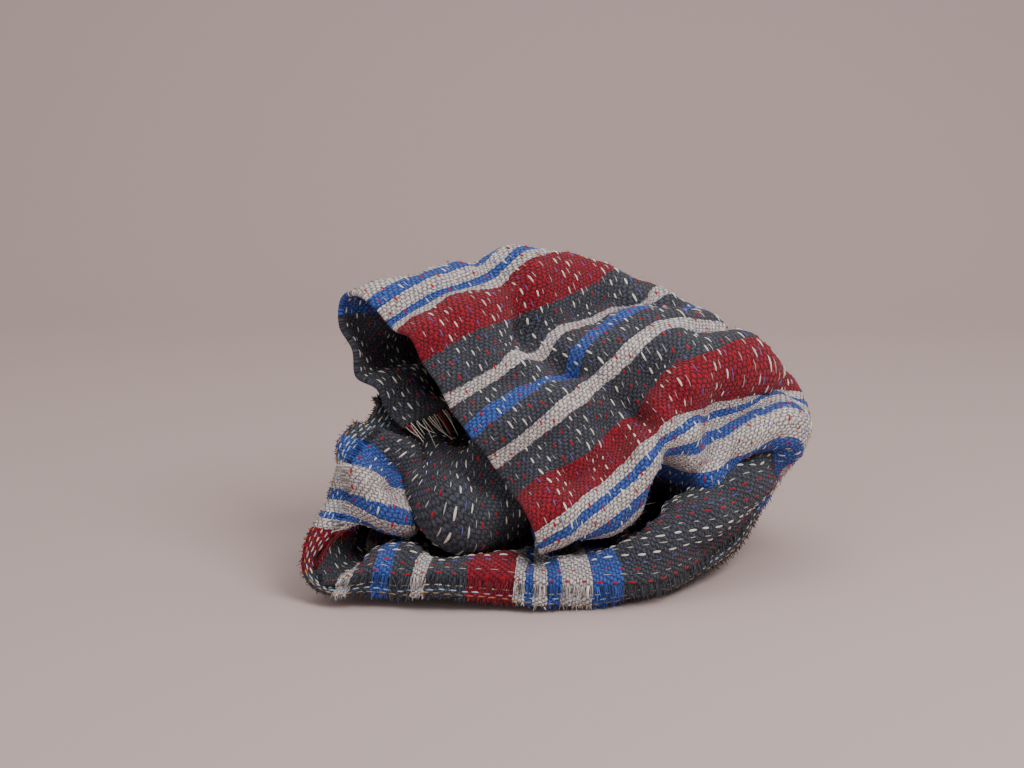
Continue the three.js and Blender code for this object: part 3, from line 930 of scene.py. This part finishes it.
@dataclass
class WoolFuzz(Strands):
    """Fine loose fibres that stand a little off one ply's outer face."""

    surface: Surface | None = None
    side: int = 1
    name: str = "upper_fuzz"
    steps: int = 3
    count: int = 14000
    length: float = 0.0075
    radius: float = 0.00011
    stand: float = 0.5
    lean: float = 0.55
    sway: float = 0.0016
    settle: float = 0.0015
    seed: int = 21

    def build(self, material: bpy.types.Material) -> bpy.types.Object:
        """Make the fibres of one ply's outer face, coloured by the stripe they stand on."""
        cloth = self.surface.cloth
        rng = np.random.default_rng(self.seed)
        v = rng.uniform(0.002, cloth.length - 0.002, self.count)
        hem = cloth.upper_hem(v) if self.side > 0 else np.full(v.shape, cloth.width)
        u = rng.uniform(0.0, 1.0, self.count) * hem
        outer = cloth.ply + cloth.ply_gap / 2
        root = self.surface.at(u, v, np.full(u.shape, self.side * outer))
        above = self.surface.at(u, v, np.full(u.shape, self.side * (outer + MM)))
        normal = (above - root) / MM
        lean = rng.normal(0.0, 1.0, root.shape)
        aim = normal * self.stand + lean * self.lean
        reach = aim * self.length * rng.uniform(0.4, 1.0, self.count)[:, None]
        sway = rng.normal(0.0, self.sway, root.shape) - normal * self.settle
        points = self.tubes(root, reach, sway, np.full(u.shape, self.radius)).reshape(-1, 3)
        points[:, 2] = np.maximum(points[:, 2], FLOOR_CLEAR)
        flat = np.repeat(np.stack([self.side * u, v], axis=-1), self.steps * self.sides, axis=0)
        return new_mesh(self.name, points, self.faces(self.count), flat, material)


@dataclass
class EndThreads(Strands):
    """Loose warp threads that hang from the two cut ends of the cloth."""

    surface: Surface | None = None
    pitch: float = 0.006
    length: float = 0.024
    radius: float = 0.0007
    hem_clear: float = 0.034
    aim_back: float = 0.012
    sway: float = 0.004
    droop: float = 0.005
    seed: int = 8

    def build(self, material: bpy.types.Material, layer: str) -> bpy.types.Object:
        """Make the threads of both ends, in the floats' yarns."""
        cloth = self.surface.cloth
        rng = np.random.default_rng(self.seed)
        yarns = np.array([yarn.value for yarn in (Yarn.WHITE_FLOAT, Yarn.CREAM_FLOAT, Yarn.RED_FLOAT)])
        places, uvs, dyes = [], [], []
        for end, inner in ((0.0, self.aim_back), (cloth.length, cloth.length - self.aim_back)):
            for side in (1, -1):
                u = np.arange(0.003, cloth.width - self.hem_clear, self.pitch)
                level = np.full(u.shape, side * (cloth.ply + cloth.ply_gap) / 2)
                root = self.surface.at(u, np.full(u.shape, end), level)
                out = root - self.surface.at(u, np.full(u.shape, inner), level)
                out /= np.maximum(np.linalg.norm(out, axis=-1, keepdims=True), TINY)
                reach = out * (self.length * rng.uniform(0.5, 1.2, len(u)))[:, None]
                sway = rng.normal(0.0, self.sway, out.shape) - np.array([0.0, 0.0, self.droop])
                tube = self.tubes(root, reach, sway, np.full(u.shape, self.radius))
                places.append(tube.reshape(-1, 3))
                flat = np.stack([side * u, np.full(u.shape, end)], axis=-1)
                uvs.append(np.repeat(flat, self.steps * self.sides, axis=0))
                dye = yarns[rng.integers(0, len(yarns), len(u))]
                dyes.append(np.repeat(dye, self.steps * self.sides, axis=0))
        points = np.concatenate(places)
        points[:, 2] = np.maximum(points[:, 2], FLOOR_CLEAR)
        count = len(points) // (self.steps * self.sides)
        piece = new_mesh("end_threads", points, self.faces(count), np.concatenate(uvs), material)
        dye_mesh(piece, layer, np.concatenate(dyes))
        return piece


@dataclass(frozen=True)
class Lamp:
    """One square soft light: its place and side in metres, and its power in watts."""

    name: str
    place: tuple[float, float, float]
    size: float
    power: float


LAMPS = (
    Lamp("key_light", (1.1, -1.3, 1.9), 1.2, 42.0),
    Lamp("fill_light", (-1.8, -1.6, 1.2), 2.0, 10.0),
    Lamp("top_light", (0.1, 0.4, 2.4), 2.0, 16.0),
)


@dataclass
class Studio:
    """Pale floor and backdrop, soft light from the upper right, and the camera."""

    aim: tuple[float, float, float] = (-0.050, -0.016, 0.178)
    distance: float = 1.99
    elevation: float = 13.0
    lens: float = 70.0
    sensor: float = 36.0
    floor_size: float = 40.0
    bend_start: float = 1.2
    bend_radius: float = 1.2
    wall: float = 2.5
    paper: tuple[float, float, float] = (0.575, 0.460, 0.445)
    lamp_tint: tuple[float, float, float] = (1.0, 0.96, 0.93)
    lamp_aim: tuple[float, float, float] = (0.0, 0.0, 0.12)
    air: tuple[float, float, float] = (0.86, 0.82, 0.80)
    air_strength: float = 0.52

    def build(self) -> None:
        """Make the floor sweep, lights, world light and camera."""
        self.sweep()
        for lamp in LAMPS:
            self.light(lamp)
        world = bpy.data.worlds.new("studio")
        world.use_nodes = True
        background = world.node_tree.nodes["Background"]
        background.inputs["Color"].default_value = (*self.air, 1.0)
        background.inputs["Strength"].default_value = self.air_strength
        bpy.context.scene.world = world
        self.camera()

    def sweep(self) -> None:
        """Floor that curves up into the backdrop: a level run, a quarter circle and a wall."""
        radius, start = self.bend_radius, self.bend_start
        turn = np.linspace(0.0, np.pi / 2, 17)
        depth = np.concatenate([[-self.floor_size], start + radius * np.sin(turn), [start + radius]])
        height = np.concatenate([[0.0], radius * (1.0 - np.cos(turn)), [radius + self.wall]])
        x = np.array([-self.floor_size, self.floor_size])
        points = np.array([(a, y, z) for y, z in zip(depth, height) for a in x])
        row = np.arange(len(depth) - 1) * 2
        faces = np.stack([row, row + 1, row + 3, row + 2], axis=-1)
        material = bpy.data.materials.new("studio_paper")
        material.use_nodes = True
        shader = material.node_tree.nodes["Principled BSDF"]
        shader.inputs["Base Color"].default_value = (*self.paper, 1.0)
        shader.inputs["Roughness"].default_value = 0.9
        shader.inputs["Specular IOR Level"].default_value = 0.1
        floor = new_mesh("studio_floor", points, faces, points[:, :2], material)

    def light(self, lamp: Lamp) -> None:
        """Hang one soft light that faces the heap."""
        glow = bpy.data.lights.new(lamp.name, "AREA")
        glow.size = lamp.size
        glow.energy = lamp.power
        glow.color = self.lamp_tint
        holder = bpy.data.objects.new(lamp.name, glow)
        bpy.context.scene.collection.objects.link(holder)
        holder.location = lamp.place
        self.face(holder, self.lamp_aim)

    @staticmethod
    def face(holder: bpy.types.Object, target: tuple[float, float, float]) -> None:
        """Turn a light or camera towards a point."""
        away = np.array(target) - np.array(holder.location)
        across = math.hypot(away[0], away[1])
        tilt = math.pi / 2 + math.atan2(away[2], across)
        holder.rotation_euler = (tilt, 0.0, math.atan2(-away[0], away[1]))

    def camera(self) -> None:
        """Camera in front of the heap, looking a little down."""
        lens = bpy.data.cameras.new("camera")
        lens.lens = self.lens
        lens.sensor_width = self.sensor
        holder = bpy.data.objects.new("camera", lens)
        bpy.context.scene.collection.objects.link(holder)
        tilt = math.radians(self.elevation)
        holder.location = (
            self.aim[0],
            self.aim[1] - self.distance * math.cos(tilt),
            self.aim[2] + self.distance * math.sin(tilt),
        )
        self.face(holder, self.aim)
        bpy.context.scene.camera = holder


def main() -> None:
    """Build the studio and the throw, and tie each piece to the frame."""
    logging.basicConfig(level=logging.INFO)
    Studio().build()
    reader = StripReader(CLOTH, np.array(RING_START), np.array(RING_SECOND))
    surface = Surface(CLOTH, reader.read(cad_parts["throw"]), FINE_ACROSS, FINE_ALONG)
    wool = WoolFinish().make()
    thread_finish = ThreadFinish()
    thread = thread_finish.make()
    sheet = ThrowSheet(surface).build(wool)
    floats = WarpFloats(surface).build(thread, thread_finish.layer)
    fine = WarpFloats(
        surface,
        name="fine_floats",
        order=(Yarn.DULL_FLOAT, Yarn.VIOLET_FLOAT, Yarn.DULL_FLOAT),
        first_line=1.0,
        half_width=0.0004,
        rise=0.0010,
        stitch_length=0.0062,
        steps=4,
        seed=14,
    )
    fine_floats = fine.build(thread, thread_finish.layer)
    edge_floats = LapFloats(surface).build(thread, thread_finish.layer)
    fuzz = WoolFuzz(surface=surface).build(wool)
    under_fuzz = WoolFuzz(surface=surface, side=-1, name="under_fuzz").build(wool)
    tufts = HemTufts(surface=surface).build(wool)
    threads = EndThreads(surface=surface).build(thread, thread_finish.layer)
    details = [floats, fine_floats, edge_floats, fuzz, under_fuzz, tufts, threads]
    for piece in (sheet, *details):
        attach(piece, "root")
        LOG.info("%s: %d faces", piece.name, len(piece.data.polygons))
    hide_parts("throw")


if __name__ == "__main__":
    main()
